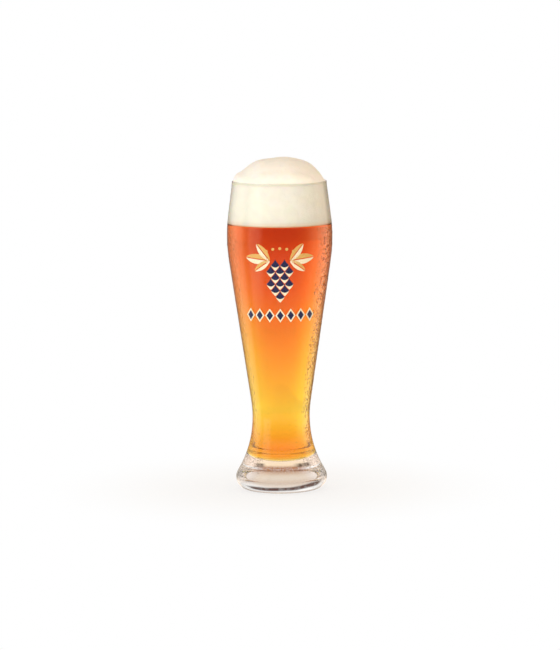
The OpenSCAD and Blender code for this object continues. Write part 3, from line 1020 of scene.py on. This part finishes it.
bead_azimuth = np.radians(random.uniform(*BEAD_DEGREES, BEAD_COUNT))
bead_z = random.uniform(*BEAD_HEIGHTS, BEAD_COUNT)
bead_r = inner_radius(bead_z) - BEAD_INSET
beads = np.stack([bead_r * np.sin(bead_azimuth), -bead_r * np.cos(bead_azimuth), bead_z], axis=-1)
bubble_places = np.concatenate([stream_places(x, y) for x, y in STREAMS] + [beads])
bubble_radii = random.uniform(*BUBBLE_RADII, len(bubble_places))
bubbles = add_piece("beer_bubbles", bubble_grids(bubble_places, bubble_radii))
bubble_tree, bubble_shader, bubble_output = new_material("beer_bubbles", bubbles)
make_clear(bubble_shader, 1 / BEER_IOR)
bubble_film = range_node(grain_node(bubble_tree, FILM_FINENESS), 0.0, 1.0, FILM_SHADE, 1.0)
bubble_tree.links.new(bubble_film, bubble_shader.inputs["Base Color"])
let_lamps_pass(bubble_shader, bubble_output, WHITE)

# Studio
# A pale table top that runs into a white background, with soft light all round that is warmer and
# weaker from the right and from above. The glass mirrors tall soft panels that stand round it.
# Levels by degrees round the glass, where nought faces the camera and right is plus: the mirrored
# panels, and one more far off on the left, which only the bowl mirrors
PANELS = (
    (-180, 0.9), (-170, 0.20), (-140, 0.25), (-124, 0.90), (-116, 1.60), (-98, 1.60), (-80, 0.20),
    (-30, 0.20), (60, 0.20), (84, 0.60), (100, 1.70), (126, 1.50), (138, 0.15), (170, 0.15), (180, 0.9),
)
FAR_PANEL = ((-180, 0.0), (-78, 0.0), (-66, 1.30), (-50, 1.30), (-34, 0.0), (180, 0.0))
PANEL_COLOUR = (1.0, 0.80, 0.64, 1)
# Light seen through the glass, by the same degrees: on the table near by, far off on it, and in the
# sky. The last two are dim in front, where only light that was turned back in the glass goes
NEAR_THROUGH = (
    (-180, 1.06), (-172, 1.08), (-160, 1.22), (-146, 1.18), (-128, 0.98), (-90, 0.92),
    (90, 0.92), (128, 0.98), (150, 1.04), (180, 1.06),
)
FAR_THROUGH = (
    (-180, 1.00), (-160, 1.00), (-128, 0.92), (-92, 0.84), (-50, 0.12),
    (50, 0.12), (92, 0.84), (128, 1.10), (150, 1.15), (166, 1.08), (180, 1.00),
)
SKY_THROUGH = (
    (-180, 1.06), (-172, 1.08), (-160, 1.22), (-146, 1.18), (-128, 0.90), (-92, 0.86), (-50, 0.12),
    (50, 0.12), (92, 0.86), (128, 0.90), (150, 1.04), (180, 1.06),
)
# A colour ramp ends at one, so levels are looked up as shares of this
RAMP_TOP = 2.0
# Beer and glass throw a warm tint on the table round the foot, which shows through the base. Here
# and below, pairs of distances in metres tell where a level begins and where it ends
TABLE_GLOW = (0.98, 0.80, 0.68, 1)
GLOW_DISTANCES = (0.05, 0.24)
FAR_DISTANCES = (0.32, 0.50)
BACK_DISTANCES = (0.15, 1.2)
SHADOW_RANGE = (0.03, 0.20, 0.25, 0.0)
TABLE_RADIUS = 2.5
TABLE_RINGS = 60
TABLE_DROP = 0.0002
TABLE_COLOUR = (0.88, 0.88, 0.88, 1)
# The sky's tint and level high up, and the fill's tint from three sides
HIGH_RISE = (0.05, 0.30)
HIGH_TINT = (0.90, 0.80, 0.74, 1)
HIGH_LEVEL = (0.95, 0.95, 0.95, 1)
RIGHT_RISE = (-0.6, 0.9)
ABOVE_RISE = (0.1, 0.9)
FILL_LEFT = (1.00, 1.00, 0.96, 1)
FILL_RIGHT = (1.12, 0.93, 0.74, 1)
FILL_ABOVE = (0.80, 0.75, 0.69, 1)
# Share of the fill that reaches froth through glass, over what its shadow rays count
GATHERED_SHARE = 0.95
KEY_PLACE = Vector((-0.8, -1.7, 0.55))
KEY_AIM = Vector((0, 0, 0.2))
KEY_SIZE = 1.0
KEY_POWER = 15
LIGHT_BOUNCES = 24


def round_level(direction, stops):
    """A level that changes with the angle round the glass, from stops in degrees."""
    shares = [((degrees + 180) / 360, (level / RAMP_TOP,) * 3) for degrees, level in stops]
    colour = ramp_node(round_node(direction), shares)
    colour.node.color_ramp.interpolation = "EASE"
    return product(colour, RAMP_TOP)


def studio_light(direction, far, through_level, through_tint):
    """What a ray sees of the studio, and whether it sees it at all: white straight on, the tinted
    light behind through glass, and the panels after a mirroring. Froth gathers light through the
    glass partly by its shadow rays already, so what it sees there is the fill, and weaker."""
    path = direction.id_data.nodes.new("ShaderNodeLightPath").outputs
    to_camera, through_glass = path["Is Camera Ray"], path["Is Transmission Ray"]
    distant = product(round_level(direction, FAR_PANEL), far)
    panels = new_math("ADD", round_level(direction, PANELS), distant)
    mirrored = mix_colours("MULTIPLY", 1.0, panels, PANEL_COLOUR)
    through = mix_colours("MULTIPLY", 1.0, through_level, through_tint)
    behind = mix_colours("MIX", through_glass, mirrored, through)
    seen_colour = mix_colours("MIX", to_camera, behind, WHITE)
    direct = new_math("MAXIMUM", to_camera, path["Is Glossy Ray"])
    seen = new_math("MAXIMUM", direct, through_glass)
    gathered = new_math("GREATER_THAN", path["Diffuse Depth"], 0.5)
    doubled = product(gathered, through_glass)
    unseen = new_math("SUBTRACT", 1.0, doubled)
    strength = new_math("MULTIPLY_ADD", doubled, GATHERED_SHARE - 1, 1.0)
    return seen_colour, product(seen, unseen), strength


table_rings = np.linspace(0, TABLE_RADIUS, TABLE_RINGS) ** 2 / TABLE_RADIUS
table = add_piece("table_top", turned(table_rings, np.full(TABLE_RINGS, -TABLE_DROP)))
table.parent = None
table_tree, table_shader, table_output = new_material("table_top", table)
table_shader.inputs["Base Color"].default_value = TABLE_COLOUR
table_shader.inputs["Roughness"].default_value = 0.9
table_shader.inputs["Specular IOR Level"].default_value = 0.1
table_place = object_place(table_tree)
distance = vector_node("LENGTH", table_place).outputs["Value"]
glow_fade = range_node(distance, *GLOW_DISTANCES)
table_glow = mix_colours("MIX", glow_fade, TABLE_GLOW, WHITE)
far_table = range_node(distance, *FAR_DISTANCES)
near_level = round_level(table_place, NEAR_THROUGH)
far_level = round_level(table_place, FAR_THROUGH)
back_share = range_node(distance, *BACK_DISTANCES)
table_level = mix_colours("MIX", back_share, near_level, far_level)
table_light = studio_light(table_place, far_table, table_level, table_glow)
# The table's own shade shows to the camera, and a white top to rays that come through glass
shade = range_node(distance, *SHADOW_RANGE)
shade_path = table_tree.nodes.new("ShaderNodeLightPath").outputs
whiteness = new_math("SUBTRACT", 1.0, product(shade, shade_path["Is Camera Ray"]))
table_white = table_tree.nodes.new("ShaderNodeEmission")
table_tree.links.new(table_light[0], table_white.inputs["Color"])
white_share = product(table_light[1], whiteness)
mix_surfaces(table_output, white_share, table_shader, table_white)

world = bpy.data.worlds.new("studio")
bpy.context.scene.world = world
world.use_nodes = True
sky = world.node_tree
sky_place = sky.nodes.new("ShaderNodeTexCoord").outputs["Generated"]
sky_parts = parts_of(sky_place)
high = range_node(sky_parts["Z"], *HIGH_RISE)
sky_tint = mix_colours("MIX", high, WHITE, HIGH_TINT)
sky_level = mix_colours("MIX", high, round_level(sky_place, SKY_THROUGH), HIGH_LEVEL)
sky_light = studio_light(sky_place, 1.0, sky_level, sky_tint)
fill = mix_colours("MIX", range_node(sky_parts["X"], *RIGHT_RISE), FILL_LEFT, FILL_RIGHT)
fill = mix_colours("MULTIPLY", range_node(sky_parts["Z"], *ABOVE_RISE), fill, FILL_ABOVE)
sky_colour = mix_colours("MIX", sky_light[1], fill, sky_light[0])
sky.links.new(sky_colour, sky.nodes["Background"].inputs["Color"])
sky.links.new(sky_light[2], sky.nodes["Background"].inputs["Strength"])

# One soft square lamp stands on the left in front, over the table
key_data = bpy.data.lights.new("key_lamp", "AREA")
key_data.shape = "SQUARE"
key_data.size = KEY_SIZE
key_data.energy = KEY_POWER
key_lamp = bpy.data.objects.new("key_lamp", key_data)
key_lamp.location = KEY_PLACE
key_lamp.rotation_mode = "QUATERNION"
key_lamp.rotation_quaternion = (KEY_AIM - KEY_PLACE).to_track_quat("-Z", "Y")
key_lamp.visible_glossy = False
key_lamp.visible_transmission = False
bpy.context.scene.collection.objects.link(key_lamp)

# Light bounces inside the thick base many times before it leaves
for kind in ("max_bounces", "glossy_bounces", "transmission_bounces"):
    setattr(bpy.context.scene.cycles, kind, LIGHT_BOUNCES)

bpy.context.scene.view_settings.view_transform = "Standard"
